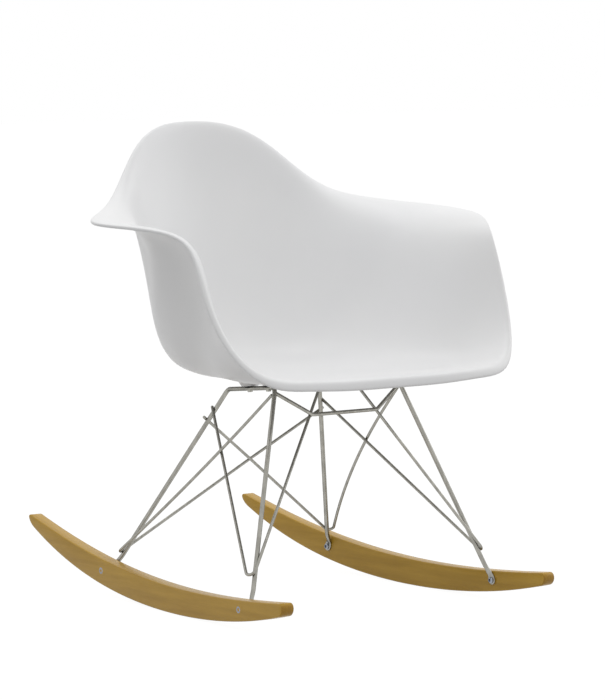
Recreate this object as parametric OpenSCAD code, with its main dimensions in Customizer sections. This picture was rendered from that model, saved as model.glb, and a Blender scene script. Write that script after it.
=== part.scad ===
// Armchair on rockers: a moulded bucket shell on a welded wire base with two wooden rockers.
// Millimetres. +Z is up, -Y is the front, and X = 0 is the plane of symmetry.
// The origin is on the floor, halfway along the rockers.

/* [Seat shell] */
// Width across the two armrest tips
seat_w = 628; // [600:4:648]
// Depth of the shell from its front lip to the top of its back
seat_d = 506; // [490:2:520]
// Height of the lowest point of the seat's upper face
pan_z = 324; // [323:1:330]
// Height of the top of the back above that point
back_h = 354; // [330:2:380]
// Wall thickness of the shell
shell_t = 5; // [4:0.5:6]
// How far the shell's own middle sits behind the middle of the rockers
seat_set = 4; // [2:0.5:6]

/* [Wire base] */
// Diameter of the leg rods
leg_d = 6.5; // [6:0.5:7]
// Diameter of the bent strut wires
strut_d = 4.3; // [4:0.1:4.6]
// Diameter of the front cross rail
cross_d = 5.4; // [5:0.2:5.8]
// Bend radius of a leg rod under the seat
leg_bend = 11; // [9:1:13]

/* [Rockers] */
// Length of a rocker
rocker_len = 691; // [651:8:723]
// Thickness of a rocker
rocker_t = 20; // [18:1:22]
// Half the distance between the rockers at their middle
rocker_x = 211.9; // [208.4:0.5:215.4]
// Angle by which a rocker's front end turns outward
splay = 2.9; // [2.5:0.1:3.3]
// How far forward of the middle a rocker meets the floor
contact_s = 59; // [52:1:66]

/* [Fasteners] */
// Thread diameter of the rocker bolts
bolt_d = 6; // [5:1:6]
// Thread diameter of the seat screws
screw_d = 5; // [4:1:5]
// Thickness of the rubber pads under the seat
pad_t = 2; // [1.5:0.5:2.5]

/* [Hidden] */

shell_white = [0.86, 0.86, 0.87];
rubber_black = [0.12, 0.12, 0.12];
rod_steel = [0.66, 0.66, 0.62];
zinc = [0.72, 0.74, 0.78];
honey_wood = [0.60, 0.46, 0.24];

// ---- Seat shell: half of the ring of stations, from the front middle round to the back middle.
// Each row: rim x, y, height; foot of the wall x, y, height; how far the wall's neck lies inside
// and below the rim; how far the wall bellies out between foot and neck; how far the edge is rolled
// back round the outside of the wall, and down. Heights are above pan_z.
stations = [
    [0, -292, 1, 0, -235, 15, 6, -16, 0, 0, 0],
    [80, -292, 1, 75, -233, 14, 6, -16, 0, 0, 0],
    [150, -290, 6, 135, -225, 13, 8, -14, 0, 0, 0],
    [206, -281, 22, 172, -200, 12, 12, -6, 0, 5, 9],
    [244, -244, 67, 186, -165, 12, 18, 16, 0, 11, 5],
    [259, -207, 140, 189, -128, 11, 26, 36, 0, 12, 2],
    [264, -174, 204, 185, -90, 9, 46, 40, 2, 5, 0],
    [290, -118, 222, 179, -48, 7, 82, 24, 8, 3, 0],
    [308, -54, 226, 169, -6, 4, 100, 22, 13, 0, 0],
    [313, 8, 229, 152, 40, 3, 110, 26, 15, 0, 0],
    [258, 68, 237, 134, 74, 1, 79, 32, 13, 0, 0],
    [200, 126, 250, 112, 98, -1, 44, 40, 5, 0, 0],
    [155, 160, 286, 84, 114, 0, 24, 46, 0, 0, 0],
    [111, 186, 326, 50, 122, 1, 18, 50, 0, 0, 0],
    [60, 205, 349, 25, 125, 2, 16, 50, 0, 0, 0],
    [0, 214, 354, 0, 126, 2, 15, 50, 0, 0, 0]];
pan_centre = [0, -40];
// Overall sizes that the station table is written for
table_w = 628;
table_d = 506;
table_back_h = 354;
// How far the seat pan has risen towards the foot at 0.6 of the way out
pan_rise = 0.3;
// Where the lip starts between the rim and the neck, and how much higher it is rolled there
lip_share = 0.5;
lip_roll = 2;
front_lip_roll = 4;
// How far inside the crest of a rolled edge its control point lies
roll_reach = 4;
cols_per_station = 3;
shell_rows = 16;

scale_x = seat_w / table_w;
scale_y = seat_d / table_d;
scale_z = back_h / table_back_h;
pole = [pan_centre.x * scale_x, pan_centre.y * scale_y + seat_set, pan_z];

function unit(v) = v / norm(v);
function station_point(k, c) =
    [stations[k][c] * scale_x, stations[k][c + 1] * scale_y + seat_set,
        pan_z + stations[k][c + 2] * scale_z];
function inward(k) =
    let (p = station_point(k, 0)) unit([pole.x - p.x, pole.y - p.y, 0]);
function neck(k) =
    station_point(k, 0) + inward(k) * stations[k][6] * scale_x - [0, 0, stations[k][7] * scale_z];
function lip(k) =
    let (crest = station_point(k, 0), drop = stations[k][7] * scale_z,
        plain = crest + (neck(k) - crest) * lip_share
            + [0, 0, drop > 0 ? drop * lip_share + lip_roll : front_lip_roll],
        rolled = crest + inward(k) * roll_reach)
    plain + (rolled - plain) * min(1, (stations[k][9] + stations[k][10]) / 10);
function rim(k) =
    let (v = inward(k))
    station_point(k, 0) + [v.y, -v.x, 0] * stations[k][9] * scale_x - [0, 0, stations[k][10] * scale_z];
function belly(k) =
    (station_point(k, 3) + neck(k)) / 2 - inward(k) * stations[k][8] * scale_x;
function pan(k) =
    let (foot = station_point(k, 3))
    [pole.x + (foot.x - pole.x) * 0.6, pole.y + (foot.y - pole.y) * 0.6,
        pole.z + (foot.z - pole.z) * pan_rise];

// Seven control rows from the middle of the seat out to the rim
function control_row(r, k) =
    r == 0 ? pole : r == 1 ? pan(k) : r == 2 ? station_point(k, 3) : r == 3 ? belly(k)
    : r == 4 ? neck(k) : r == 5 ? lip(k) : rim(k);
last = len(stations) - 1;
ring = 2 * last;
control_rows = [for (r = [0:6])
    [for (k = [0:ring - 1])
        let (p = control_row(r, k <= last ? k : ring - k))
        k <= last ? p : [-p.x, p.y, p.z]]];

// Closed cubic B-spline round a ring of points, corrected so that it runs through them
function blend4(t) =
    [pow(1 - t, 3), 3 * t * t * t - 6 * t * t + 4, -3 * t * t * t + 3 * t * t + 3 * t + 1, t * t * t] / 6;
function pulled(p, k) =
    let (n = len(p)) p[k] - (p[(k + n - 1) % n] - 2 * p[k] + p[(k + 1) % n]) / 6;
function round_ring(p) =
    let (n = len(p), q = [for (k = [0:n - 1]) pulled(p, k)])
    [for (k = [0:n - 1], c = [0:cols_per_station - 1])
        let (w = blend4(c / cols_per_station))
        w[0] * q[(k + n - 1) % n] + w[1] * q[k] + w[2] * q[(k + 1) % n] + w[3] * q[(k + 2) % n]];
rings = [for (row = control_rows) round_ring(row)];

// Clamped cubic B-spline from the middle of the seat to the rim
knots = [0, 0, 0, 0, 1, 2, 3, 4, 4, 4, 4];
function knot_share(a, b, t) = a == b ? 0 : (t - a) / (b - a);
function basis(i, p, t) =
    p == 0 ? (knots[i] <= t && t < knots[i + 1] ? 1 : 0)
    : knot_share(knots[i], knots[i + p], t) * basis(i, p - 1, t)
        + knot_share(knots[i + p + 1], knots[i + 1], t) * basis(i + 1, p - 1, t);
row_weights = [for (j = [0:shell_rows])
    let (t = min(4 * j / shell_rows, 3.999999))
    [for (i = [0:6]) basis(i, 3, t)]];
cols = len(rings[0]);
function surface_point(j, c) =
    let (w = row_weights[j])
    w[0] * rings[0][c] + w[1] * rings[1][c] + w[2] * rings[2][c] + w[3] * rings[3][c]
        + w[4] * rings[4][c] + w[5] * rings[5][c] + w[6] * rings[6][c];
upper = [for (j = [0:shell_rows]) [for (c = [0:cols - 1]) surface_point(j, c)]];
function upper_normal(j, c) =
    let (across = upper[j][(c + 1) % cols] - upper[j][(c + cols - 1) % cols],
        out = upper[min(j + 1, shell_rows)][c] - upper[j - 1][c])
    unit(cross(out, across));
function lower_point(j, c) = upper[j][c] - upper_normal(j, c) * shell_t;

// ---- Rockers: height of the edges above the floor, t in hundreds of millimetres
facet = 24;
sag = 3.92 * pow(facet / 200, 2);
function bottom_z(s) =
    let (t = (s - contact_s) / 100) 3.92 * t * t - 0.042 * pow(t, 3) + 0.058 * pow(t, 4) - sag;
function top_z(s) =
    let (t = s / 100) 40.4 - 5.74 * t + 2.98 * t * t - 0.035 * pow(t, 3) - 0.016 * pow(t, 4);
// Round corners of each tip: length of the upper one, length of the lower one, and the share of
// the tip's height that the upper one takes
front_tip = [8, 8, 0.5];
rear_tip = [7, 14, 0.35];
tip_turn = 18;
first_s = contact_s - facet * (floor((rocker_len / 2 + contact_s - rear_tip[1]) / facet) - 0.5);
last_s = contact_s + facet * (floor((rocker_len / 2 - contact_s - front_tip[1]) / facet) - 0.5);
function tip_point(way, tip, a) =
    let (end = way * rocker_len / 2, thick = top_z(end) - bottom_z(end),
        s = end - way * (a < 0 ? tip[1] : tip[0]) * (1 - cos(a)))
    [s, a < 0 ? bottom_z(s) + thick * (1 - tip[2]) * (1 + sin(a)) : top_z(s) - thick * tip[2] * (1 - sin(a))];
rocker_outline = concat(
    [for (s = [first_s:facet:last_s + 1]) [s, bottom_z(s)]],
    [for (a = [-90:tip_turn:90]) tip_point(1, front_tip, a)],
    [for (s = [last_s:-facet:first_s - 1]) [s, top_z(s)]],
    [for (a = [90:-tip_turn:-90]) tip_point(-1, rear_tip, a)]);

// ---- Rocker bolts, measured along the rocker and above the floor
rear_bolt = [-134.2, 35.7];
front_bolt = [236, 29.2];
eye_t = 2.8;
eye_d = 13;
bolt_head_d = 9;
bolt_head_h = 3.6;
bolt_socket = 4;
sleeve_d = 7.8;
sleeve_cap_d = 10;
sleeve_cap_t = 1.6;
sleeve_len = 14;
fit_gap = 0.1;

function rocker_point(s, off, z) =
    [-rocker_x - s * sin(splay) + off * cos(splay), -s * cos(splay) - off * sin(splay), z];
function foot_point(bolt) = rocker_point(bolt[0], rocker_t / 2 + eye_t / 2, bolt[1]);

// ---- Wire base, right side. The left side is its mirror image.
rear_top = [-81.3, 3.5, 303];
front_top = [-108, -148.3, 320];
rear_foot = foot_point(rear_bolt);
front_foot = foot_point(front_bolt);
foot_taper = 20;
rail_dir = unit(front_top - rear_top);
rail_len = norm(front_top - rear_top);
// Where the seat screws pass through the rail, from its rear corner
rear_mount = 0.47 * rail_len;
front_mount = 0.86 * rail_len;
rail_eye_d = 15;
rail_flat_len = 12;
// How much fatter a flattened stretch starts than the rod it swallows
taper_lap = 0.2;

// The front strut's vertex hugs the outside of the front leg. The rear strut's vertex goes
// round the back of the rear leg, and its long arm crosses to the other side.
front_vertex = [-214.2, -233.8, 56.9];
front_strut_back_end = [-97, 21.4, 277.4];
front_strut_inner_end = [-36.4, -152.7, 310.5];
front_vertex_bend = 8.5;
rear_vertex = [-198.5, 129.3, 53.7];
rear_strut_top = [-112.5, -146.8, 309.9];
rear_strut_far_end = [107.1, 28.2, 262.5];
rear_vertex_bend = 7;
// How far the middle of the rear strut's outer arm bows inward and back
rear_strut_bow = [10.3, 5.5, 0];
cross_side = [-110.4, -151, 313];
cross_drop = [-56.8, -167.2, 280.3];
cross_bend = 9;
// The two rear struts pass each other at the middle, one before the other: how far each one
// bows there, its bend radius, and how far along the arm that is
pass_gap = 2.3;
pass_bend = 600;
pass_share = rear_vertex.x / (rear_vertex.x - rear_strut_far_end.x);

// ---- Helpers
module framed(origin, x_dir, z_hint) {
    z_dir = unit(z_hint - x_dir * (z_hint * x_dir));
    y_dir = cross(z_dir, x_dir);
    multmatrix([
        [x_dir.x, y_dir.x, z_dir.x, origin.x],
        [x_dir.y, y_dir.y, z_dir.y, origin.y],
        [x_dir.z, y_dir.z, z_dir.z, origin.z],
        [0, 0, 0, 1]]) children();
}

// Half the angle between two arms that meet at p
function half_angle(a, p, b) = acos(unit(a - p) * unit(b - p)) / 2;

// Centre line of a bent wire as [place, direction] rings
bend_steps = 8;
function bend_rings(a, p, b, bend) =
    let (half = half_angle(a, p, b), ahead = unit(p - a),
        centre = p + unit(unit(a - p) + unit(b - p)) * bend / sin(half),
        out = unit(p - ahead * bend / tan(half) - centre))
    [for (k = [0:bend_steps])
        let (turn = (180 - 2 * half) * k / bend_steps)
        [centre + bend * (cos(turn) * out + sin(turn) * ahead), cos(turn) * ahead - sin(turn) * out]];
function wire_rings(p, bends) =
    let (n = len(p) - 1)
    concat([[p[0], unit(p[1] - p[0])]],
        [for (k = [1:1:n - 1]) each bend_rings(p[k - 1], p[k], p[k + 1], bends[k - 1])],
        [[p[n], unit(p[n] - p[n - 1])]]);

// Round tube through the rings, whose seam stays square to side_hint
tube_sides = 16;
module tube(rings, r, side_hint) {
    n = len(rings);
    points = [for (ring = rings)
        let (side = unit(cross(ring[1], side_hint)), up = cross(side, ring[1]))
        for (k = [0:tube_sides - 1])
            let (a = 360 * k / tube_sides) ring[0] + r * (cos(a) * side + sin(a) * up)];
    function at(j, k) = j * tube_sides + k % tube_sides;
    faces = concat(
        [[for (k = [tube_sides - 1:-1:0]) at(0, k)], [for (k = [0:tube_sides - 1]) at(n - 1, k)]],
        [for (j = [0:n - 2], k = [0:tube_sides - 1])
            each [[at(j, k), at(j, k + 1), at(j + 1, k + 1)], [at(j, k), at(j + 1, k + 1), at(j + 1, k)]]]);
    polyhedron(points = points, faces = faces);
}

// A wire through points, with a bend radius at each inner point
module wire(p, bends, d) {
    tube(wire_rings(p, bends), d / 2, cross(p[1] - p[0], p[2] - p[1]));
}

module left_side() {
    mirror([1, 0, 0]) children();
}

// Along a rail: +X forward, +Z up and square to the rail
module on_rail(along) {
    framed(rear_top + rail_dir * along, rail_dir, [0, 0, 1]) children();
}

// On the right rocker's inner face: +X forward, +Y inward, +Z up
module on_rocker(bolt) {
    translate(rocker_point(bolt[0], rocker_t / 2, bolt[1]))
        rotate([0, 0, -90 - splay]) children();
}

module at_rocker_bolts() {
    for (bolt = [rear_bolt, front_bolt]) {
        on_rocker(bolt) children();
        left_side() on_rocker(bolt) children();
    }
}

module at_mounts() {
    for (along = [rear_mount, front_mount]) {
        on_rail(along) children();
        left_side() on_rail(along) children();
    }
}

// ---- Seat
module seat_shell() {
    grid = shell_rows * cols;
    function top_i(j, c) = j == 0 ? 0 : 1 + (j - 1) * cols + c % cols;
    function low_i(j, c) = 1 + grid + top_i(j, c);
    points = concat(
        [pole], [for (j = [1:shell_rows], c = [0:cols - 1]) upper[j][c]],
        [pole - [0, 0, shell_t]], [for (j = [1:shell_rows], c = [0:cols - 1]) lower_point(j, c)]);
    faces = concat(
        [for (c = [0:cols - 1]) [0, top_i(1, c + 1), top_i(1, c)]],
        [for (c = [0:cols - 1]) [low_i(0, 0), low_i(1, c), low_i(1, c + 1)]],
        [for (j = [1:shell_rows - 1], c = [0:cols - 1])
            each [[top_i(j, c), top_i(j, c + 1), top_i(j + 1, c + 1)],
                [top_i(j, c), top_i(j + 1, c + 1), top_i(j + 1, c)],
                [low_i(j, c), low_i(j + 1, c + 1), low_i(j, c + 1)],
                [low_i(j, c), low_i(j + 1, c), low_i(j + 1, c + 1)]]],
        [for (c = [0:cols - 1])
            each [[top_i(shell_rows, c), top_i(shell_rows, c + 1), low_i(shell_rows, c + 1)],
                [top_i(shell_rows, c), low_i(shell_rows, c + 1), low_i(shell_rows, c)]]]);
    color(shell_white) polyhedron(points = points, faces = faces);
}

// Tapered foot moulded under the shell, with a blind screw hole from below
module boss(low_d, high_d, height, hole) {
    color(shell_white) translate([0, 0, eye_t / 2 + pad_t]) difference() {
        cylinder(d1 = low_d, d2 = high_d, h = height, $fn = 48);
        translate([0, 0, -1]) cylinder(d = screw_d, h = hole + 1, $fn = 24);
    }
}

rear_boss_h = 11;
rear_boss_hole = 7;
front_boss_h = 4.5;
front_boss_hole = 3.8;
module right_rear_boss() on_rail(rear_mount) boss(24, 37, rear_boss_h, rear_boss_hole);
module left_rear_boss() left_side() right_rear_boss();
module right_front_boss() on_rail(front_mount) boss(16, 20, front_boss_h, front_boss_hole);
module left_front_boss() left_side() right_front_boss();

pad_d = 12;
module pad() {
    color(rubber_black) translate([0, 0, eye_t / 2]) difference() {
        cylinder(d = pad_d, h = pad_t, $fn = 48);
        translate([0, 0, -1]) cylinder(d = screw_d + 0.4, h = pad_t + 2, $fn = 24);
    }
}
module right_rear_pad() on_rail(rear_mount) pad();
module left_rear_pad() left_side() right_rear_pad();
module right_front_pad() on_rail(front_mount) pad();
module left_front_pad() left_side() right_front_pad();

washer_t = 1;
washer_d = 10;
module mount_washers() {
    color(zinc) at_mounts() translate([0, 0, -eye_t / 2 - washer_t]) difference() {
        cylinder(d = washer_d, h = washer_t, $fn = 48);
        translate([0, 0, -1]) cylinder(d = screw_d + 0.4, h = washer_t + 2, $fn = 24);
    }
}

screw_head_d = 8.5;
screw_head_h = 2.8;
screw_reach = 3.5;
module mount_screws() {
    seat_z = -eye_t / 2 - washer_t;
    tip_z = eye_t / 2 + pad_t + screw_reach;
    color(zinc) at_mounts() difference() {
        union() {
            translate([0, 0, seat_z - screw_head_h])
                cylinder(d1 = screw_head_d - 2, d2 = screw_head_d, h = screw_head_h, $fn = 48);
            translate([0, 0, seat_z]) cylinder(d = screw_d - fit_gap, h = tip_z - seat_z, $fn = 24);
        }
        translate([0, 0, seat_z - screw_head_h - 1]) cylinder(d = 3, h = 2.6, $fn = 6);
    }
}

// ---- Wire base
// Rod beaten flat round a screw hole, with a taper on both sides
module rail_eye() {
    for (side = [-1, 1]) hull() {
        translate([side * rail_flat_len, 0, 0]) rotate([0, 90, 0])
            cylinder(d = leg_d + taper_lap, h = 1, center = true, $fn = 24);
        translate([side * 6.5, 0, 0]) cube([1, 7, eye_t], center = true);
    }
    translate([0, 0, -eye_t / 2]) cylinder(d = rail_eye_d, h = eye_t, $fn = 48);
}

// Rod end beaten flat against the rocker
module foot_eye(bolt, foot, top) {
    up = unit(top - foot);
    lean = atan2(-up.x * sin(splay) - up.y * cos(splay), up.z);
    hull() {
        framed(foot + up * foot_taper, up, [1, 0, 0]) rotate([0, 90, 0])
            cylinder(d = leg_d + taper_lap, h = 1, center = true, $fn = 24);
        on_rocker(bolt) rotate([0, lean, 0]) translate([0, eye_t / 2, 5.45])
            cube([6.4, eye_t, 0.9], center = true);
    }
    on_rocker(bolt) rotate([-90, 0, 0]) cylinder(d = eye_d, h = eye_t, $fn = 48);
}

// The round stretches of the rod, between its flattened eyes
module leg_tubes() {
    rear_start = rear_foot + unit(rear_top - rear_foot) * foot_taper;
    front_start = front_foot + unit(front_top - front_foot) * foot_taper;
    tube(wire_rings([rear_start, rear_top, rear_top + rail_dir * (rear_mount - rail_flat_len)], [leg_bend]),
        leg_d / 2, [1, 0, 0]);
    tube([for (along = [rear_mount + rail_flat_len, front_mount - rail_flat_len])
        [rear_top + rail_dir * along, rail_dir]], leg_d / 2, [1, 0, 0]);
    front_end = rear_top + rail_dir * (front_mount + rail_flat_len - 0.4);
    tube(wire_rings([front_end, front_top, front_start], [leg_bend]), leg_d / 2, [1, 0, 0]);
}

module right_leg_rod() {
    color(rod_steel) difference() {
        union() {
            leg_tubes();
            on_rail(rear_mount) rail_eye();
            on_rail(front_mount) rail_eye();
            foot_eye(rear_bolt, rear_foot, rear_top);
            foot_eye(front_bolt, front_foot, front_top);
        }
        for (along = [rear_mount, front_mount])
            on_rail(along) translate([0, 0, -eye_t]) cylinder(d = screw_d + 0.4, h = 2 * eye_t, $fn = 24);
        for (bolt = [rear_bolt, front_bolt])
            on_rocker(bolt) translate([0, -1, 0]) rotate([-90, 0, 0])
                cylinder(d = bolt_d + 0.4, h = eye_t + 2, $fn = 24);
    }
}
module left_leg_rod() left_side() right_leg_rod();

module right_front_strut() {
    color(rod_steel)
        wire([front_strut_back_end, front_vertex, front_strut_inner_end], [front_vertex_bend], strut_d);
}
module left_front_strut() left_side() right_front_strut();

// Bend radius that spreads one bend over most of two arms of equal length
function long_bend(a, p, b) = 0.9 * norm(p - a) * tan(half_angle(a, p, b));
module rear_strut(pass) {
    middle = (rear_vertex + rear_strut_top) / 2 + 2 * rear_strut_bow;
    crossing = rear_vertex + (rear_strut_far_end - rear_vertex) * pass_share + [0, pass, 0];
    wire([rear_strut_top, middle, rear_vertex, crossing, rear_strut_far_end],
        [long_bend(rear_strut_top, middle, rear_vertex) * 0.9, rear_vertex_bend, pass_bend], strut_d);
}
module right_rear_strut() color(rod_steel) rear_strut(pass_gap);
module left_rear_strut() color(rod_steel) left_side() rear_strut(-pass_gap);

module front_cross_rail() {
    far_side = [-cross_side.x, cross_side.y, cross_side.z];
    far_drop = [-cross_drop.x, cross_drop.y, cross_drop.z];
    color(rod_steel) wire([cross_side, cross_drop, far_drop, far_side], [cross_bend, cross_bend], cross_d);
}

// ---- Rockers
module right_rocker() {
    color(honey_wood) difference() {
        translate([-rocker_x, 0, 0]) rotate([0, 0, -90 - splay])
            translate([0, rocker_t / 2, 0]) rotate([90, 0, 0])
                linear_extrude(height = rocker_t) polygon(rocker_outline);
        for (bolt = [rear_bolt, front_bolt]) on_rocker(bolt) {
            translate([0, 1, 0]) rotate([90, 0, 0])
                cylinder(d = sleeve_d + 2 * fit_gap, h = rocker_t + 2, $fn = 32);
            translate([0, -rocker_t + sleeve_cap_t, 0]) rotate([90, 0, 0])
                cylinder(d = sleeve_cap_d + 2 * fit_gap, h = sleeve_cap_t + 1, $fn = 48);
        }
    }
}
module left_rocker() left_side() right_rocker();

module rocker_bolts() {
    color(zinc) at_rocker_bolts() difference() {
        union() {
            translate([0, eye_t + bolt_head_h, 0]) rotate([90, 0, 0])
                cylinder(d1 = bolt_head_d - 2.5, d2 = bolt_head_d, h = bolt_head_h, $fn = 48);
            translate([0, eye_t, 0]) rotate([90, 0, 0])
                cylinder(d = bolt_d - fit_gap, h = eye_t + rocker_t - 4, $fn = 24);
        }
        translate([0, eye_t + bolt_head_h + 1, 0]) rotate([90, 0, 0])
            cylinder(d = bolt_socket, h = 3.2, $fn = 6);
    }
}

module rocker_sleeve_nuts() {
    color(zinc) at_rocker_bolts() difference() {
        union() {
            translate([0, -rocker_t + sleeve_cap_t, 0]) rotate([90, 0, 0])
                cylinder(d = sleeve_cap_d, h = sleeve_cap_t, $fn = 48);
            translate([0, -rocker_t + sleeve_cap_t + sleeve_len, 0]) rotate([90, 0, 0])
                cylinder(d = sleeve_d, h = sleeve_len, $fn = 32);
        }
        translate([0, 0, 0]) rotate([90, 0, 0]) cylinder(d = bolt_d, h = rocker_t - 3, $fn = 24);
        translate([0, -rocker_t + 1.2, 0]) rotate([90, 0, 0]) cylinder(d = bolt_socket, h = 2, $fn = 6);
    }
}

seat_shell();
right_rear_boss();
left_rear_boss();
right_front_boss();
left_front_boss();
right_rear_pad();
left_rear_pad();
right_front_pad();
left_front_pad();
mount_washers();
mount_screws();
right_leg_rod();
left_leg_rod();
right_front_strut();
left_front_strut();
right_rear_strut();
left_rear_strut();
front_cross_rail();
right_rocker();
left_rocker();
rocker_bolts();
rocker_sleeve_nuts();
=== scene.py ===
from math import ceil, copysign, cos, pi, radians, sin, tan

import bmesh
import bpy
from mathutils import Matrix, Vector


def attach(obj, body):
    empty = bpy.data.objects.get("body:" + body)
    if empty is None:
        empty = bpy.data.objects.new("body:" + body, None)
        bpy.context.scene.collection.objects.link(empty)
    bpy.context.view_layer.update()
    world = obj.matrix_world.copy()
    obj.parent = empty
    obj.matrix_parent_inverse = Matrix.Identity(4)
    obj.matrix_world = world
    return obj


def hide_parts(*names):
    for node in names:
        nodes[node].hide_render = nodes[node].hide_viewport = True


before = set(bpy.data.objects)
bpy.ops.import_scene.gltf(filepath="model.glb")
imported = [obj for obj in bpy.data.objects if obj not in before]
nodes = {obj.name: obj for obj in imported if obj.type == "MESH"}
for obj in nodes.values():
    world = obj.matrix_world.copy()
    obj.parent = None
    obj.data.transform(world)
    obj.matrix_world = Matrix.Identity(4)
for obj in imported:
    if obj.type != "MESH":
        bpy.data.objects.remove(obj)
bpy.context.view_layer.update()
print("frame loaded:", len(nodes), "nodes")

# The pieces' dictionaries are in millimetres; Blender works in metres.
mm = 0.001
tiny = 1e-9                  # metres, for lengths that are only rounding errors
upright = Vector((0, 0, 1))
backward = Vector((0, 1, 0))
# Sitter's sides: the right one is at -x
hands = (("right", -1), ("left", 1))


def spot(x, y, z):
    return Vector((x, y, z)) * mm


def mirrored(p):
    return Vector((-p.x, p.y, p.z))


# Node helpers. Noise values mostly fall between these two.
noiseLow, noiseHigh = 0.3, 0.7
# The Mix node's colour sockets: factor, two colours in, one out
mixFactor, mixFirst, mixSecond, mixResult = 0, 6, 7, 2


def newMaterial(name):
    material = bpy.data.materials.new(name)
    material.use_nodes = True
    tree = material.node_tree
    return material, tree, tree.nodes["Principled BSDF"]


def addNode(tree, kind, **values):
    node = tree.nodes.new(kind)
    for key, value in values.items():
        if hasattr(node, key):
            setattr(node, key, value)
        else:
            node.inputs[key].default_value = value
    return node


def spread(tree, source, low, high):
    # turns a noise value into one from low to high
    node = addNode(tree, "ShaderNodeMapRange")
    tree.links.new(source, node.inputs["Value"])
    node.inputs["From Min"].default_value = noiseLow
    node.inputs["From Max"].default_value = noiseHigh
    node.inputs["To Min"].default_value = low
    node.inputs["To Max"].default_value = high
    return node.outputs["Result"]


def noiseOn(tree, place, scale, detail, stretch):
    mapping = addNode(tree, "ShaderNodeMapping")
    mapping.inputs["Scale"].default_value = stretch
    tree.links.new(place, mapping.inputs["Vector"])
    noise = addNode(tree, "ShaderNodeTexNoise", Scale=scale, Detail=detail)
    tree.links.new(mapping.outputs["Vector"], noise.inputs["Vector"])
    return noise.outputs["Fac"]


def objectNoise(tree, scale, detail, stretch=(1, 1, 1)):
    place = addNode(tree, "ShaderNodeTexCoord")
    return noiseOn(tree, place.outputs["Object"], scale, detail, stretch)


def bumpFrom(tree, shader, source, strength, distance):
    bump = addNode(tree, "ShaderNodeBump", Strength=strength, Distance=distance)
    tree.links.new(source, bump.inputs["Height"])
    tree.links.new(bump.outputs["Normal"], shader.inputs["Normal"])


def blendColours(tree, factor, first, second):
    mix = addNode(tree, "ShaderNodeMix", data_type="RGBA")
    tree.links.new(factor, mix.inputs[mixFactor])
    for key, value in ((mixFirst, first), (mixSecond, second)):
        if hasattr(value, "is_output"):
            tree.links.new(value, mix.inputs[key])
        else:
            mix.inputs[key].default_value = (*value, 1)
    return mix.outputs[mixResult]


# Noise scales are in cells per metre, bump depths in metres.
plastic = {
    "colour": (0.90, 0.90, 0.90),
    "tint": (0.875, 0.877, 0.885),
    "patches": 5,            # faint wide patches of the tint
    "roughness": (0.34, 0.42),
    "smudges": 60,
    "gloss": 0.45,
    "grain": 900,            # fine moulded texture
    "grainStrength": 0.25,
    "grainDepth": 0.00004,
}


def whitePlastic():
    material, tree, shader = newMaterial("whitePlastic")
    patches = spread(tree, objectNoise(tree, plastic["patches"], detail=2), 0, 1)
    tree.links.new(blendColours(tree, patches, plastic["colour"], plastic["tint"]),
                   shader.inputs["Base Color"])
    smudges = objectNoise(tree, plastic["smudges"], detail=4)
    tree.links.new(spread(tree, smudges, *plastic["roughness"]), shader.inputs["Roughness"])
    shader.inputs["Specular IOR Level"].default_value = plastic["gloss"]
    bumpFrom(tree, shader, objectNoise(tree, plastic["grain"], detail=2),
             plastic["grainStrength"], plastic["grainDepth"])
    return material


steel = {
    "name": "brightSteel",
    "light": (0.405, 0.396, 0.358),
    "dark": (0.29, 0.283, 0.255),
    "edge": 0.5,             # darkens the metal where it turns away from the eye
    "roughness": (0.20, 0.32),
    "streaks": 160,
}
zinc = {
    "name": "zincPlate",
    "light": (0.36, 0.385, 0.43),
    "dark": (0.23, 0.25, 0.29),
    "edge": 0.8,
    "roughness": (0.22, 0.38),
    "streaks": 420,
}
# Streaks are drawn out along z; wear is coarser than them.
streakStretch, wearShare = (1, 1, 0.25), 0.4
metalBump, metalDepth = 0.3, 0.00003


def metal(look):
    material, tree, shader = newMaterial(look["name"])
    shader.inputs["Metallic"].default_value = 1
    shader.inputs["Specular Tint"].default_value = (look["edge"],) * 3 + (1,)
    streaks = objectNoise(tree, look["streaks"], detail=5, stretch=streakStretch)
    tree.links.new(blendColours(tree, spread(tree, streaks, 0, 1), look["light"], look["dark"]),
                   shader.inputs["Base Color"])
    wear = objectNoise(tree, look["streaks"] * wearShare, detail=3)
    tree.links.new(spread(tree, wear, *look["roughness"]), shader.inputs["Roughness"])
    bumpFrom(tree, shader, streaks, metalBump, metalDepth)
    return material


rubber = {
    "colour": (0.018, 0.018, 0.019),
    "dusty": (0.045, 0.044, 0.043),
    "dust": 400,
    "roughness": 0.72,
    "bump": 0.4,
    "bumpDepth": 0.0001,
}


def blackRubber():
    material, tree, shader = newMaterial("blackRubber")
    dust = objectNoise(tree, rubber["dust"], detail=4)
    tree.links.new(blendColours(tree, spread(tree, dust, 0, 1), rubber["colour"], rubber["dusty"]),
                   shader.inputs["Base Color"])
    shader.inputs["Roughness"].default_value = rubber["roughness"]
    bumpFrom(tree, shader, dust, rubber["bump"], rubber["bumpDepth"])
    return material


wood = {
    "light": (0.64, 0.390, 0.052),
    "dark": (0.50, 0.290, 0.030),
    "endGrain": (0.36, 0.185, 0.022),
    # noise cells per metre along and across the grain
    "figure": (7, 91),
    "pores": (60, 1560),
    "rings": (500, 420),     # on the end grain
    "poreShade": 0.22,
    "ringShade": (0.35, 0.95),
    "roughness": (0.32, 0.46),
    "gloss": 0.12,
    "lacquer": 0.3,
    "lacquerRoughness": 0.22,
    "bump": 0.25,
    "bumpDepth": 0.00005,
}


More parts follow.
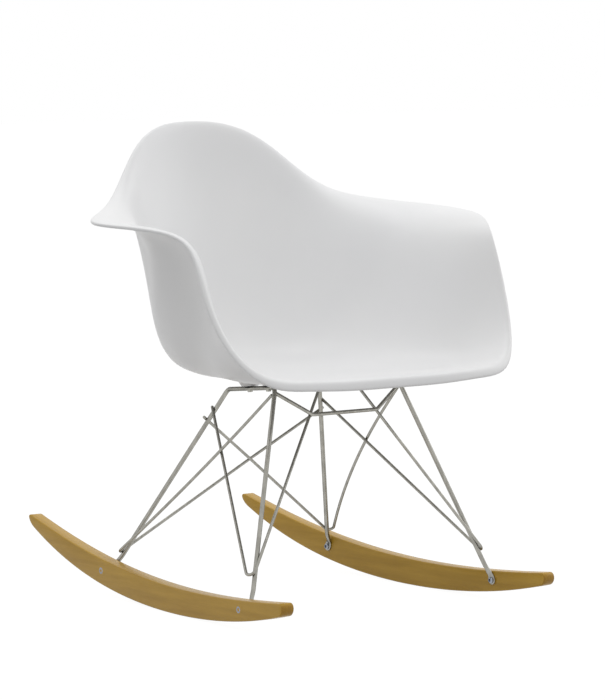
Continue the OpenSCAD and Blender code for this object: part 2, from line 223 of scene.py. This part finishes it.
def honeyWood():
    material, tree, shader = newMaterial("honeyWood")
    grainMap = addNode(tree, "ShaderNodeUVMap", uv_map="grain").outputs["UV"]
    figure = noiseOn(tree, grainMap, 1, detail=4, stretch=(*wood["figure"], 1))
    pores = noiseOn(tree, grainMap, 1, detail=2, stretch=(*wood["pores"], 1))
    rings = noiseOn(tree, grainMap, 1, detail=3, stretch=(*wood["rings"], 1))
    body = blendColours(tree, spread(tree, figure, 0, 1), wood["light"], wood["dark"])
    pored = blendColours(tree, spread(tree, pores, 0, wood["poreShade"]), body, wood["endGrain"])
    ringed = blendColours(tree, spread(tree, rings, *wood["ringShade"]), pored, wood["endGrain"])
    ends = addNode(tree, "ShaderNodeAttribute", attribute_name="endGrain")
    tree.links.new(blendColours(tree, ends.outputs["Fac"], pored, ringed),
                   shader.inputs["Base Color"])
    tree.links.new(spread(tree, pores, *wood["roughness"]), shader.inputs["Roughness"])
    shader.inputs["Specular IOR Level"].default_value = wood["gloss"]
    shader.inputs["Coat Weight"].default_value = wood["lacquer"]
    shader.inputs["Coat Roughness"].default_value = wood["lacquerRoughness"]
    bumpFrom(tree, shader, pores, wood["bump"], wood["bumpDepth"])
    return material


shellFinish = whitePlastic()
rodFinish = metal(steel)
zincFinish = metal(zinc)
rubberFinish = blackRubber()
woodFinish = honeyWood()
print("materials made")


def addObject(name, data):
    added = bpy.data.objects.new(name, data)
    bpy.context.scene.collection.objects.link(added)
    return added


def finishPiece(name, bm, material, replaced, crease):
    bmesh.ops.recalc_face_normals(bm, faces=bm.faces)
    mesh = bpy.data.meshes.new(name)
    bm.to_mesh(mesh)
    bm.free()
    mesh.shade_smooth()
    mesh.set_sharp_from_angle(angle=radians(crease))
    mesh.materials.append(material)
    piece = addObject(name, mesh)
    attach(piece, "root")
    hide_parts(*replaced)


def bridge(bm, rings):
    # walls between rings of points that follow each other
    for first, second in zip(rings, rings[1:]):
        count = len(first)
        for k in range(count):
            after = (k + 1) % count
            bm.faces.new((first[k], first[after], second[after], second[k]))


def closedTube(bm, rings):
    bridge(bm, rings)
    bm.faces.new(rings[0])
    bm.faces.new(rings[-1])


def valueAt(rows, at):
    # straight between (place, a, b ...) rows
    if at <= rows[0][0]:
        return rows[0][1:]
    for low, high in zip(rows, rows[1:]):
        if at <= high[0]:
            t = (at - low[0]) / (high[0] - low[0])
            return tuple(a + (b - a) * t for a, b in zip(low[1:], high[1:]))
    return rows[-1][1:]


# The seat shell is a grid: columns run from the middle of the seat out to the rim.
shell = {
    "poleY": -36, "panZ": 324, "setBack": 4, "thick": 5,
    "panShare": 0.6, "panRise": 0.3, "lipShare": 0.5, "lipRoll": 2, "frontLipRoll": 4,
    "rollReach": 4,          # how far inside the crest of a rolled edge its control point lies
    "fullRoll": 10,          # back and down together, where the roll counts in full
    "columnsPerStation": 6, "rows": 44,
    "rimStart": 3.4, "rimSearch": 0.002, "rimSteps": 8, "crease": 60,
}
# Half of the ring, front to back: rim x, y, height; wall foot x, y, height;
# neck inside and below the rim; belly of the wall; how far the edge is rolled back and down.
# Heights are above panZ.
shellStations = [
    (0, -292, 1, 0, -235, 15, 6, -16, 0, 0, 0),
    (80, -292, 1, 75, -233, 14, 6, -16, 0, 0, 0),
    (150, -290, 6, 135, -225, 13, 8, -14, 0, 0, 0),
    (206, -281, 22, 172, -200, 12, 12, -6, 0, 5, 9),
    (244, -244, 67, 186, -165, 12, 18, 16, 0, 11, 5),
    (259, -207, 140, 189, -128, 11, 26, 36, 0, 12, 2),
    (264, -174, 204, 185, -90, 9, 46, 40, 2, 5, 0),
    (290, -118, 222, 179, -48, 7, 82, 24, 8, 3, 0),
    (308, -54, 226, 169, -6, 4, 100, 22, 13, 0, 0),
    (313, 8, 229, 152, 40, 3, 110, 26, 15, 0, 0),
    (258, 68, 237, 134, 74, 1, 79, 32, 13, 0, 0),
    (200, 126, 250, 112, 98, -1, 44, 40, 5, 0, 0),
    (155, 160, 286, 84, 114, 0, 24, 46, 0, 0, 0),
    (111, 186, 326, 50, 122, 1, 18, 50, 0, 0, 0),
    (60, 205, 349, 25, 125, 2, 16, 50, 0, 0, 0),
    (0, 214, 354, 0, 126, 2, 15, 50, 0, 0, 0),
]
columnKnots = (0, 0, 0, 0, 1, 2, 3, 4, 4, 4, 4)


def stationPoints(rimX, rimY, rimH, footX, footY, footH, inset, drop, belly, back, down):
    # the seven control points of one column
    pole = spot(0, shell["poleY"], shell["panZ"])
    crest = spot(rimX, rimY + shell["setBack"], shell["panZ"] + rimH)
    foot = spot(footX, footY + shell["setBack"], shell["panZ"] + footH)
    inward = Vector((pole.x - crest.x, pole.y - crest.y, 0)).normalized()
    neck = crest + inward * inset * mm - spot(0, 0, drop)
    rim = crest + Vector((inward.y, -inward.x, 0)) * back * mm - spot(0, 0, down)
    lip = crest.lerp(neck, shell["lipShare"])
    lipRise = drop * shell["lipShare"] + shell["lipRoll"] if drop > 0 else shell["frontLipRoll"]
    lip.z += lipRise * mm
    rollShare = min(1, (back + down) / shell["fullRoll"])
    lip = lip.lerp(crest + inward * shell["rollReach"] * mm, rollShare)
    wall = (foot + neck) / 2 - inward * belly * mm
    pan = pole.lerp(foot, shell["panShare"])
    pan.z = pole.z + (foot.z - pole.z) * shell["panRise"]
    return pole, pan, foot, wall, neck, lip, rim


def roundRing(points):
    # closed cubic curve that keeps close to the points
    count, per = len(points), shell["columnsPerStation"]
    pulled = [p - (points[k - 1] - 2 * p + points[(k + 1) % count]) / 6
              for k, p in enumerate(points)]
    ring = []
    for k in range(count):
        for c in range(per):
            t = c / per
            weights = ((1 - t) ** 3, 3 * t ** 3 - 6 * t * t + 4,
                       -3 * t ** 3 + 3 * t * t + 3 * t + 1, t ** 3)
            ring.append(sum((pulled[(k - 1 + i) % count] * weight
                             for i, weight in enumerate(weights)), Vector()) / 6)
    return ring


def splineBasis(i, degree, t):
    knots = columnKnots
    if degree == 0:
        return 1 if knots[i] <= t < knots[i + 1] else 0
    low, high = knots[i + degree] - knots[i], knots[i + degree + 1] - knots[i + 1]
    left = (t - knots[i]) / low * splineBasis(i, degree - 1, t) if low else 0
    right = (knots[i + degree + 1] - t) / high * splineBasis(i + 1, degree - 1, t) if high else 0
    return left + right


def makeShell():
    controls = [list(row) for row in zip(*(stationPoints(*station) for station in shellStations))]
    rings = [roundRing(row + [mirrored(p) for p in row[-2:0:-1]]) for row in controls]
    columns, rows, thick = len(rings[0]), shell["rows"], shell["thick"] * mm

    def surfaceAt(c, t):
        return sum((ring[c] * splineBasis(i, 3, t) for i, ring in enumerate(rings)), Vector())

    def roundStart(c):
        # where the column comes close enough to its edge to be rounded off
        t = columnKnots[-1] - shell["rimSearch"] / 2
        while (surfaceAt(c, t) - rings[-1][c]).length < shell["rimStart"] * mm:
            t -= shell["rimSearch"]
        return t

    ends = [roundStart(c) for c in range(columns)]
    upper = [[surfaceAt(c, ends[c] * j / rows) for c in range(columns)] for j in range(rows + 1)]

    def normalAt(j, c):
        across = upper[j][(c + 1) % columns] - upper[j][c - 1]
        out = upper[min(j + 1, rows)][c] - upper[j - 1][c]
        return out.cross(across).normalized()

    bm = bmesh.new()
    top = bm.verts.new(upper[0][0])
    bottom = bm.verts.new(upper[0][0] - upright * thick)
    topRings = [[bm.verts.new(p) for p in row] for row in upper[1:rows]]
    lowRings = [[bm.verts.new(upper[j][c] - normalAt(j, c) * thick) for c in range(columns)]
                for j in range(1, rows)]
    rimRings = []
    for k in range(shell["rimSteps"] + 1):
        turn = pi / 2 - pi * k / shell["rimSteps"]
        ring = []
        for c in range(columns):
            out = (upper[rows][c] - upper[rows - 1][c]).normalized()
            normal = normalAt(rows, c)
            centre = upper[rows][c] - normal * thick / 2
            ring.append(bm.verts.new(centre + (out * cos(turn) + normal * sin(turn)) * thick / 2))
        rimRings.append(ring)
    bridge(bm, topRings + rimRings + lowRings[::-1])
    for c in range(columns):
        after = (c + 1) % columns
        bm.faces.new((top, topRings[0][c], topRings[0][after]))
        bm.faces.new((bottom, lowRings[0][after], lowRings[0][c]))
    finishPiece("seatShell", bm, shellFinish, ["seat_shell"], shell["crease"])


makeShell()
print("seat shell made")


# Places on a rocker: s forward along it, z up, off towards the chair's middle.
rocker = {
    "length": 691, "thick": 20, "halfGap": 211.9, "splay": 2.9,
    "contact": 59,           # s where it rests on the floor
    "flat": 24,              # length of the level face under it in the solid
    # the edges' shape in powers of s / curveUnit: square, cube and fourth, and for the
    # high edge its level and slope at s = 0 before them
    "curveUnit": 100,
    "lowCurve": (3.92, -0.042, 0.058),
    "highCurve": (40.4, -5.74, 2.98, -0.035, -0.016),
    # upper corner length, lower corner length, upper corner's share of the height
    "frontTip": (8, 8, 0.5), "rearTip": (7, 14, 0.35),
    "step": 8, "tipSteps": 14, "edgeRound": 1.6, "edgeSteps": 3, "crease": 50,
    "rearBolt": (-134.2, 35.7), "frontBolt": (236, 29.2),
    "grainSlope": 0.03,      # the figure drifts up the side faces
    "edgeGrain": 0.3,        # moves the top and bottom faces to other figure
    "endGrainFrom": 0.45, "endGrainFade": 0.4,
}
splayCos, splaySin = cos(radians(rocker["splay"])), sin(radians(rocker["splay"]))
rockerInward = Vector((splayCos, -splaySin, 0))


def rockerPoint(s, off, z):
    # on the right rocker
    return spot(-rocker["halfGap"] - s * splaySin + off * splayCos,
                -s * splayCos - off * splaySin, z)


def lowEdge(s):
    t = (s - rocker["contact"]) / rocker["curveUnit"]
    square, cube, fourth = rocker["lowCurve"]
    rise = square * (rocker["flat"] / 2 / rocker["curveUnit"]) ** 2
    return max(square * t * t + cube * t ** 3 + fourth * t ** 4 - rise, 0)


def highEdge(s):
    t = s / rocker["curveUnit"]
    level, slope, square, cube, fourth = rocker["highCurve"]
    return level + slope * t + square * t * t + cube * t ** 3 + fourth * t ** 4


def tipPoint(way, tip, a):
    # a runs from -90 degrees at the lower edge to 90 at the upper one
    upperLength, lowerLength, upperShare = tip
    end = way * rocker["length"] / 2
    height = highEdge(end) - lowEdge(end)
    s = end - way * (lowerLength if a < 0 else upperLength) * (1 - cos(a))
    if a < 0:
        return s, lowEdge(s) + height * (1 - upperShare) * (1 + sin(a))
    return s, highEdge(s) - height * upperShare * (1 - sin(a))


def rockerOutline():
    half, rear, front = rocker["length"] / 2, rocker["rearTip"], rocker["frontTip"]
    count, tipSteps = ceil(2 * half / rocker["step"]), rocker["tipSteps"]
    turns = [pi * k / tipSteps - pi / 2 for k in range(1, tipSteps)]

    def run(corner):
        # places between the tips, at the upper corners (0) or the lower ones (1)
        first, last = rear[corner] - half, half - front[corner]
        return [first + (last - first) * k / count for k in range(count + 1)]

    low = [(s, lowEdge(s)) for s in run(1)] + [tipPoint(1, front, a) for a in turns]
    high = [(s, highEdge(s)) for s in run(0)[::-1]] + [tipPoint(-1, rear, a) for a in turns[::-1]]
    return low + high


def makeRocker(hand, side):
    outline = rockerOutline()
    count = len(outline)
    inward = []
    for k in range(count):
        back, ahead = outline[k - 1], outline[(k + 1) % count]
        along = Vector((ahead[0] - back[0], ahead[1] - back[1])).normalized()
        inward.append(Vector((-along.y, along.x)))
    radius, steps, half = rocker["edgeRound"], rocker["edgeSteps"], rocker["thick"] / 2
    bm = bmesh.new()
    grain = bm.loops.layers.uv.new("grain")
    ends = bm.verts.layers.float.new("endGrain")
    facts = {}

    def rockerRing(shrink, off):
        ring = []
        for (s, z), pull in zip(outline, inward):
            s, z = s + pull.x * shrink, z + pull.y * shrink
            point = rockerPoint(s, off, z)
            vertex = bm.verts.new(point if side < 0 else mirrored(point))
            endOn = (abs(pull.x) - rocker["endGrainFrom"]) / rocker["endGrainFade"]
            vertex[ends] = max(0, min(1, endOn)) if abs(off) < half else 0
            facts[vertex] = (s * mm, z * mm, off * mm)
            ring.append(vertex)
        return ring

    turns = [pi / 2 * k / steps for k in range(steps + 1)]
    edges = [(radius * (1 - sin(turn)), half - radius * (1 - cos(turn))) for turn in turns]
    rings = [rockerRing(shrink, -off) for shrink, off in edges]
    rings += [rockerRing(shrink, off) for shrink, off in edges[::-1]]
    bridge(bm, rings)
    for ring in (rings[0], rings[-1]):
        # each low point is joined across to the high point above it
        ladder = ring[-(rocker["tipSteps"] // 2):] + ring
        for k in range(count // 2):
            corners = [ladder[k], ladder[k + 1], ladder[count - 1 - k], ladder[count - k]]
            bm.faces.new(list(dict.fromkeys(corners)))
    for face in bm.faces:
        onSide = len({facts[v][2] for v in face.verts}) == 1
        for loop in face.loops:
            s, z, off = facts[loop.vert]
            across = z - rocker["grainSlope"] * s if onSide else off + rocker["edgeGrain"]
            loop[grain].uv = (s + side, across)    # side gives each rocker its own figure
    finishPiece(f"{hand}Rocker", bm, woodFinish, [f"{hand}_rocker"], rocker["crease"])


for hand, side in hands:
    makeRocker(hand, side)
print("rockers made")


# Corners of the right side's rods; the left ones are mirrored.
base = {
    "strutRadius": 2.15, "crossRadius": 2.7, "rodSides": 20, "bendSteps": 12, "crease": 45,
    "rearTop": (-81.3, 3.5, 303), "frontTop": (-108, -148.3, 320),
    "footReach": 6.5,        # half the length of the flat round a rocker bolt
    "footRise": 26, "footBend": 8, "ankleBend": 40, "legBend": 11,
    "eyeThick": 2.8,
    "eyeShares": {"rear": 0.47, "front": 0.86},    # places of the screws along the rail
    "frontVertex": (-214.2, -233.8, 56.9), "frontVertexBend": 8.5,
    "frontStrutBackEnd": (-97, 21.4, 277.4), "frontStrutInnerEnd": (-36.4, -152.7, 310.5),
    "rearVertex": (-198.5, 129.3, 53.7), "rearVertexBend": 7,
    "rearStrutTop": (-112.5, -146.8, 309.9), "rearStrutFarEnd": (107.1, 28.2, 262.5),
    "rearStrutBow": (10.3, 5.5, 0),
    "bowShare": 0.81,        # share of the outer arm that the bow bends
    "passGap": 2.3, "passBend": 600,               # the rear struts pass each other
    "crossSide": (-110.4, -151, 313), "crossDrop": (-56.8, -167.2, 280.3), "crossBend": 9,
    "cutEase": 0.5, "cutShrink": 0.6,              # softens the cut ends of a wire
    # of the beaten parts' cross-section, in full where the half width is this much more
    # than the half thickness
    "squareness": 0.4, "beatenFull": 2,
    # where the flat side turns between foot and rail, measured from the foot and the rail
    "turnFoot": 60, "turnRail": 40,
    # rings of a leg rod: everywhere, and each millimetre near the feet and the eyes
    "ringGap": 5, "footRings": 32, "eyeRings": 14, "finestGap": 0.2,
    "eyeSearch": 0.5,        # steps in which an eye's place along the rod is found
}
# Distance from the bolt, half width and half thickness of the beaten rod end
footShape = [
    (-6.5, 1.0, 1.1), (-6.2, 2.4, 1.3), (-5.4, 3.8, 1.4), (-4, 5.2, 1.4), (-2, 6.2, 1.4),
    (0, 6.5, 1.4), (2.5, 6.3, 1.4), (6, 5.4, 1.45), (10, 4.5, 1.7), (15, 3.8, 2.3),
    (20, 3.35, 3.0), (24, 3.25, 3.25),
]
# The same for the flattened places under the seat, either side of the screw
eyeShape = [
    (0, 7.5, 1.4), (2, 7.3, 1.4), (4, 6.5, 1.4), (6, 5.2, 1.4), (7.5, 4.4, 1.55),
    (9, 3.9, 2.1), (10.5, 3.5, 2.8), (12.5, 3.25, 3.25),
]


def place(name):
    return spot(*base[name])


def halfAngle(a, p, b):
    return (a - p).angle(b - p) / 2


def bentLine(corners, bends):
    # centre line with a bend radius at each inner corner, as (place, direction) pairs
    line = [(corners[0], (corners[1] - corners[0]).normalized())]
    for a, p, b, bend in zip(corners, corners[1:], corners[2:], bends):
        half = halfAngle(a, p, b)
        ahead = (p - a).normalized()
        bisector = ((a - p).normalized() + (b - p).normalized()).normalized()
        centre = p + bisector * bend / sin(half)
        out = (p - ahead * bend / tan(half) - centre).normalized()
        for k in range(base["bendSteps"] + 1):
            turn = (pi - 2 * half) * k / base["bendSteps"]
            line.append((centre + bend * (cos(turn) * out + sin(turn) * ahead),
                         cos(turn) * ahead - sin(turn) * out))
    line.append((corners[-1], (corners[-1] - corners[-2]).normalized()))
    return line


def lengthsAlong(line):
    lengths = [0]
    for (a, _), (b, _) in zip(line, line[1:]):
        lengths.append(lengths[-1] + (b - a).length)
    return lengths


def pointAlong(line, lengths, at):
    for k in range(len(line) - 1):
        if at <= lengths[k + 1] or k == len(line) - 2:
            gap = lengths[k + 1] - lengths[k]
            t = (at - lengths[k]) / gap if gap > tiny else 0
            (a, aheadA), (b, aheadB) = line[k], line[k + 1]
            return a.lerp(b, t), aheadA.lerp(aheadB, t).normalized()


def nearestAlong(line, lengths, marks, target):
    return min(marks, key=lambda at: (pointAlong(line, lengths, at)[0] - target).length)


def sweep(bm, stations):
    # stations: (place, direction, flat side's normal, half width, half thickness)
    rings = []
    for at, ahead, flat, wide, thick in stations:
        across = ahead.cross(flat).normalized()
        up = across.cross(ahead)
        beaten = min(max((wide - thick) / (base["beatenFull"] * mm), 0), 1)
        power = 1 - base["squareness"] * beaten
        ring = []
        for k in range(base["rodSides"]):
            a = 2 * pi * k / base["rodSides"]
            x = copysign(abs(cos(a)) ** power, cos(a))
            y = copysign(abs(sin(a)) ** power, sin(a))
            ring.append(bm.verts.new(at + across * x * wide + up * y * thick))
        rings.append(ring)
    closedTube(bm, rings)


def sweepWire(bm, line, radius, flat):
    # a plain wire with slightly softened cut ends
    soft = base["cutEase"] * mm
    lengths = lengthsAlong(line)
    stations = []
    for at in sorted({0, soft, lengths[-1] - soft, lengths[-1], *lengths[1:-1]}):
        point, ahead = pointAlong(line, lengths, at)
        r = radius * mm - (base["cutShrink"] * soft if at in (0, lengths[-1]) else 0)
        stations.append((point, ahead, flat, r, r))
    sweep(bm, stations)


def finishRod(name, bm, replaced, side=-1):
    if side > 0:
        bmesh.ops.scale(bm, vec=(-1, 1, 1), verts=bm.verts)
    finishPiece(name, bm, rodFinish, replaced, base["crease"])


def railLine():
    # where the side rail starts, its run to the front and the way up from it
    start = place("rearTop")
    run = place("frontTop") - start
    ahead = run.normalized()
    return start, run, (upright - ahead * ahead.z).normalized()


def footLine(bolt, top):
    # from the end of the beaten eye, up the eye and into the leg's own line
    eye = rockerPoint(bolt[0], rocker["thick"] / 2 + base["eyeThick"] / 2, bolt[1])
    leg = (top - eye).normalized()
    flatWay = (leg - rockerInward * leg.dot(rockerInward)).normalized()
    reach = flatWay * base["footReach"] * mm
    return [eye - reach, eye + reach, eye + leg * base["footRise"] * mm]


def legRings(lengths, eyes):
    # places along a leg rod, closer together where its section changes
    total, gap = lengths[-1], base["ringGap"]
    marks = set(lengths)
    for k in range(base["footRings"]):
        marks |= {k * mm, total - k * mm}
    for eye in eyes:
        marks |= {eye + k * mm for k in range(-base["eyeRings"], base["eyeRings"] + 1)}
    # close rings keep the round stretches full while the flat side turns
    marks |= {k * gap * mm for k in range(int(total / (gap * mm)))}
    kept = []
    for at in sorted(marks):
        if not kept or at - kept[-1] >= base["finestGap"] * mm:
            kept.append(at)
    return kept


def makeLegRod(hand, side):
    rearTop, rail, up = railLine()
    frontTop = rearTop + rail
    frontFoot = footLine(rocker["frontBolt"], frontTop)
    corners = footLine(rocker["rearBolt"], rearTop) + [rearTop, frontTop] + frontFoot[::-1]
    halfBends = [base["footBend"], base["ankleBend"], base["legBend"]]
    line = bentLine(corners, [bend * mm for bend in halfBends + halfBends[::-1]])
    lengths = lengthsAlong(line)
    total = lengths[-1]
    railStart = nearestAlong(line, lengths, lengths, rearTop)
    step = base["eyeSearch"] * mm
    onRail = [railStart + step * k for k in range(int(rail.length / step))]
    eyes = [nearestAlong(line, lengths, onRail, rearTop + rail * share)
            for share in base["eyeShares"].values()]
    turnFoot, turnRail = base["turnFoot"] * mm, base["turnRail"] * mm
    facing = [
        (0, *rockerInward), (turnFoot, *rockerInward),
        (railStart - turnRail, *up), (railStart + rail.length + turnRail, *up),
        (total - turnFoot, *rockerInward), (total, *rockerInward),
    ]
    stations = []
    for at in legRings(lengths, eyes):
        point, ahead = pointAlong(line, lengths, at)
        wide, thick = valueAt(footShape, min(at, total - at) / mm - base["footReach"])
        for eye in eyes:
            if abs(at - eye) < eyeShape[-1][0] * mm:
                wide, thick = valueAt(eyeShape, abs(at - eye) / mm)
        stations.append((point, ahead, Vector(valueAt(facing, at)), wide * mm, thick * mm))
    bm = bmesh.new()
    sweep(bm, stations)
    finishRod(f"{hand}LegRod", bm, [f"{hand}_leg_rod"], side)


def makeFrontStrut(hand, side):
    back, vertex, inner = (place(name) for name in
                           ("frontStrutBackEnd", "frontVertex", "frontStrutInnerEnd"))
    line = bentLine([back, vertex, inner], [base["frontVertexBend"] * mm])
    bm = bmesh.new()
    sweepWire(bm, line, base["strutRadius"], (vertex - back).cross(inner - vertex))
    finishRod(f"{hand}FrontStrut", bm, [f"{hand}_front_strut"], side)


def makeRearStrut(hand, side):
    top, vertex, far = (place(name) for name in
                        ("rearStrutTop", "rearVertex", "rearStrutFarEnd"))
    # the inner arm passes the other strut's at x = 0
    crossing = vertex.lerp(far, vertex.x / (vertex.x - far.x))
    crossing += spot(0, -side * base["passGap"], 0)
    # the corner lies at twice the bow, because the bend cuts it off
    middle = (top + vertex) / 2 + 2 * place("rearStrutBow")
    bow = base["bowShare"] * (middle - top).length * tan(halfAngle(top, middle, vertex))
    bends = [bow, base["rearVertexBend"] * mm, base["passBend"] * mm]
    line = bentLine([top, middle, vertex, crossing, far], bends)
    bm = bmesh.new()
    sweepWire(bm, line, base["strutRadius"], (vertex - top).cross(far - vertex))
    finishRod(f"{hand}RearStrut", bm, [f"{hand}_rear_strut"], side)


def makeCrossRail():
    outer, drop = place("crossSide"), place("crossDrop")
    bend = base["crossBend"] * mm
    line = bentLine([outer, drop, mirrored(drop), mirrored(outer)], [bend, bend])
    bm = bmesh.new()
    sweepWire(bm, line, base["crossRadius"], backward)
    finishRod("frontCrossRail", bm, ["front_cross_rail"])


for makeRod in (makeLegRod, makeFrontStrut, makeRearStrut):
    for hand, side in hands:
        makeRod(hand, side)
makeCrossRail()
print("wire base made")


# Turned profiles: rows of radius and height along the axis. In a row marked hexagon the
# radius is the one to its flats.
fastener = {
    "boltHead": [(4.3, 0), (4.5, 0.25), (4.5, 0.9), (4.3, 1.7), (3.8, 2.5), (3.1, 3.1),
                 (2.7, 3.35), (2.15, 3.4, "hexagon"), (2.0, 3.2, "hexagon"),
                 (2.0, 0.6, "hexagon")],
    "nutCap": [(4.0, -6), (4.0, -1.6), (4.9, -1.6), (4.9, -0.3), (4.7, 0), (2.5, 0.02),
               (2.3, -0.2, "hexagon"), (2.2, -5.6, "hexagon")],
    "headTurn": 0.3, "capTurn": 0.2,               # turn of the sockets, as a slope
    "segments": 36, "crease": 35,
}
seatFoot = {
    "rear": [(2.6, 0.6), (11.4, 0), (12.1, 0.5), (18.5, 11), (17.5, 11.05)],
    "front": [(2.6, 0.4), (7.6, 0), (8.1, 0.4), (10, 4.5), (9, 4.6)],
    "padThick": 2, "segments": 48, "crease": 35,
}


def turned(bm, profile, origin, axis, hint, segments):
    across = (hint - axis * hint.dot(axis)).normalized()
    other = axis.cross(across)
    rings = []
    for radius, height, *shape in profile:
        ring = []
        for k in range(segments):
            a = 2 * pi * k / segments
            r = radius / cos((a % (pi / 3)) - pi / 6) if shape else radius
            out = across * cos(a) + other * sin(a)
            ring.append(bm.verts.new(origin + out * r * mm + axis * height * mm))
        rings.append(ring)
    closedTube(bm, rings)


def makeRockerFasteners():
    heads, caps = bmesh.new(), bmesh.new()
    headHint, capHint = (Vector((0, fastener[key], 1)) for key in ("headTurn", "capTurn"))
    half, segments = rocker["thick"] / 2, fastener["segments"]
    for s, z in (rocker["rearBolt"], rocker["frontBolt"]):
        eye = rockerPoint(s, half + base["eyeThick"], z)
        outside = rockerPoint(s, -half, z)
        for flipped in (False, True):
            where, end, way = eye, outside, rockerInward
            if flipped:
                where, end, way = mirrored(where), mirrored(end), mirrored(way)
            turned(heads, fastener["boltHead"], where, way, headHint, segments)
            turned(caps, fastener["nutCap"], end, -way, capHint, segments)
    crease = fastener["crease"]
    finishPiece("rockerBoltHeads", heads, zincFinish, ["rocker_bolts"], crease)
    finishPiece("sleeveNutCaps", caps, zincFinish, ["rocker_sleeve_nuts"], crease)


def makeSeatFeet():
    rearTop, rail, up = railLine()
    lift = up * (base["eyeThick"] / 2 + seatFoot["padThick"]) * mm
    for where, share in base["eyeShares"].items():
        origin = rearTop + rail * share + lift
        for hand, side in hands:
            bm = bmesh.new()
            turned(bm, seatFoot[where], mirrored(origin) if side > 0 else origin, up,
                   backward, seatFoot["segments"])
            finishPiece(f"{hand}{where.capitalize()}Foot", bm, shellFinish,
                        [f"{hand}_{where}_boss"], seatFoot["crease"])


def finishNode(name, finish):
    # the solid's own shape is right, so it only gets a better material
    materials = nodes[name].data.materials
    count = len(materials)
    if count == 0:
        materials.append(finish)
    for index in range(count):
        materials[index] = finish


makeRockerFasteners()
makeSeatFeet()
for name in ("right_rear_pad", "left_rear_pad", "right_front_pad", "left_front_pad"):
    finishNode(name, rubberFinish)
for name in ("mount_washers", "mount_screws"):
    finishNode(name, rodFinish)
print("fasteners and feet made")


# In metres and watts
studio = {
    "ambient": 0.607,
    "topSoftbox": {"place": (0.1, 0.3, 3.0), "size": 2.6, "power": 24.5},
    "sideSoftbox": {"place": (3.0, -0.6, 1.8), "size": 1.8, "power": 15.6},
    "lampsAim": (0, 0.05, 0.45),
    "floorHalf": 14, "floorDrop": 0.0002, "floorCuts": 4,
    # the seen floor is mostly glow, with a share of lit paint that keeps the shadow
    "floorWhite": 0.5, "floorShare": 0.2, "floorGlow": 1.2,
}


def seenRays(tree):
    # 1 for rays from the camera and for those seen in gloss or through glass
    rays = addNode(tree, "ShaderNodeLightPath")
    seen = rays.outputs["Is Camera Ray"]
    for kind in ("Is Glossy Ray", "Is Transmission Ray"):
        either = addNode(tree, "ShaderNodeMath", operation="MAXIMUM")
        tree.links.new(seen, either.inputs[0])
        tree.links.new(rays.outputs[kind], either.inputs[1])
        seen = either.outputs[0]
    return seen


def mixShaders(tree, first, second):
    mix = addNode(tree, "ShaderNodeMixShader")
    tree.links.new(first.outputs[0], mix.inputs[1])
    tree.links.new(second.outputs[0], mix.inputs[2])
    return mix


def makeFloor():
    half = studio["floorHalf"]
    bm = bmesh.new()
    for x, y in ((-half, -half), (half, -half), (half, half), (-half, half)):
        bm.verts.new((x, y, -studio["floorDrop"]))
    bm.faces.new(bm.verts)
    bmesh.ops.subdivide_edges(bm, edges=bm.edges, cuts=studio["floorCuts"], use_grid_fill=True)
    mesh = bpy.data.meshes.new("studioFloor")
    bm.to_mesh(mesh)
    bm.free()
    floor = addObject("studioFloor", mesh)
    material, tree, shader = newMaterial("studioWhite")
    tree.nodes.remove(shader)
    paint = addNode(tree, "ShaderNodeBsdfDiffuse")
    paint.inputs["Color"].default_value = (studio["floorWhite"],) * 3 + (1,)
    glow = addNode(tree, "ShaderNodeEmission", Strength=studio["floorGlow"])
    shaded = mixShaders(tree, glow, paint)
    shaded.inputs[0].default_value = studio["floorShare"]
    surface = mixShaders(tree, paint, shaded)
    tree.links.new(seenRays(tree), surface.inputs[0])
    tree.links.new(surface.outputs[0], tree.nodes["Material Output"].inputs["Surface"])
    mesh.materials.append(material)


def makeWorld():
    world = bpy.data.worlds.new("studioWorld")
    bpy.context.scene.world = world
    world.use_nodes = True
    tree = world.node_tree
    tree.nodes.clear()
    ambient = addNode(tree, "ShaderNodeBackground", Strength=studio["ambient"])
    white = addNode(tree, "ShaderNodeBackground", Strength=1)
    for node in (ambient, white):
        node.inputs["Color"].default_value = (1, 1, 1, 1)
    surface = mixShaders(tree, ambient, white)
    tree.links.new(seenRays(tree), surface.inputs[0])
    output = addNode(tree, "ShaderNodeOutputWorld")
    tree.links.new(surface.outputs[0], output.inputs["Surface"])


def aim(holder, way):
    holder.rotation_euler = way.to_track_quat("-Z", "Y").to_euler()


def areaLamp(name):
    lamp = bpy.data.lights.new(name, "AREA")
    lamp.size = studio[name]["size"]
    lamp.energy = studio[name]["power"]
    holder = addObject(name, lamp)
    holder.location = studio[name]["place"]
    aim(holder, Vector(studio["lampsAim"]) - Vector(studio[name]["place"]))


viewpoint = {
    "place": (-3.374, -4.659, 0.922), "azimuth": -36.3, "elevation": 5.63,
    "focalPixels": 4000, "framePixels": 700,       # focal length and height of the frame
    "sensor": 36, "farthest": 100,
}


def makeCamera():
    camera = bpy.data.cameras.new("studioCamera")
    camera.sensor_fit = "VERTICAL"
    camera.sensor_height = viewpoint["sensor"]
    camera.lens = viewpoint["sensor"] * viewpoint["focalPixels"] / viewpoint["framePixels"]
    camera.clip_end = viewpoint["farthest"]
    holder = addObject("studioCamera", camera)
    holder.location = viewpoint["place"]
    azimuth, elevation = radians(viewpoint["azimuth"]), radians(viewpoint["elevation"])
    aim(holder, Vector((-sin(azimuth) * cos(elevation), cos(azimuth) * cos(elevation),
                        -sin(elevation))))
    bpy.context.scene.camera = holder


makeFloor()
makeWorld()
areaLamp("topSoftbox")
areaLamp("sideSoftbox")
makeCamera()
bpy.context.scene.view_settings.view_transform = "Standard"
print("studio made")

bpy.context.view_layer.update()
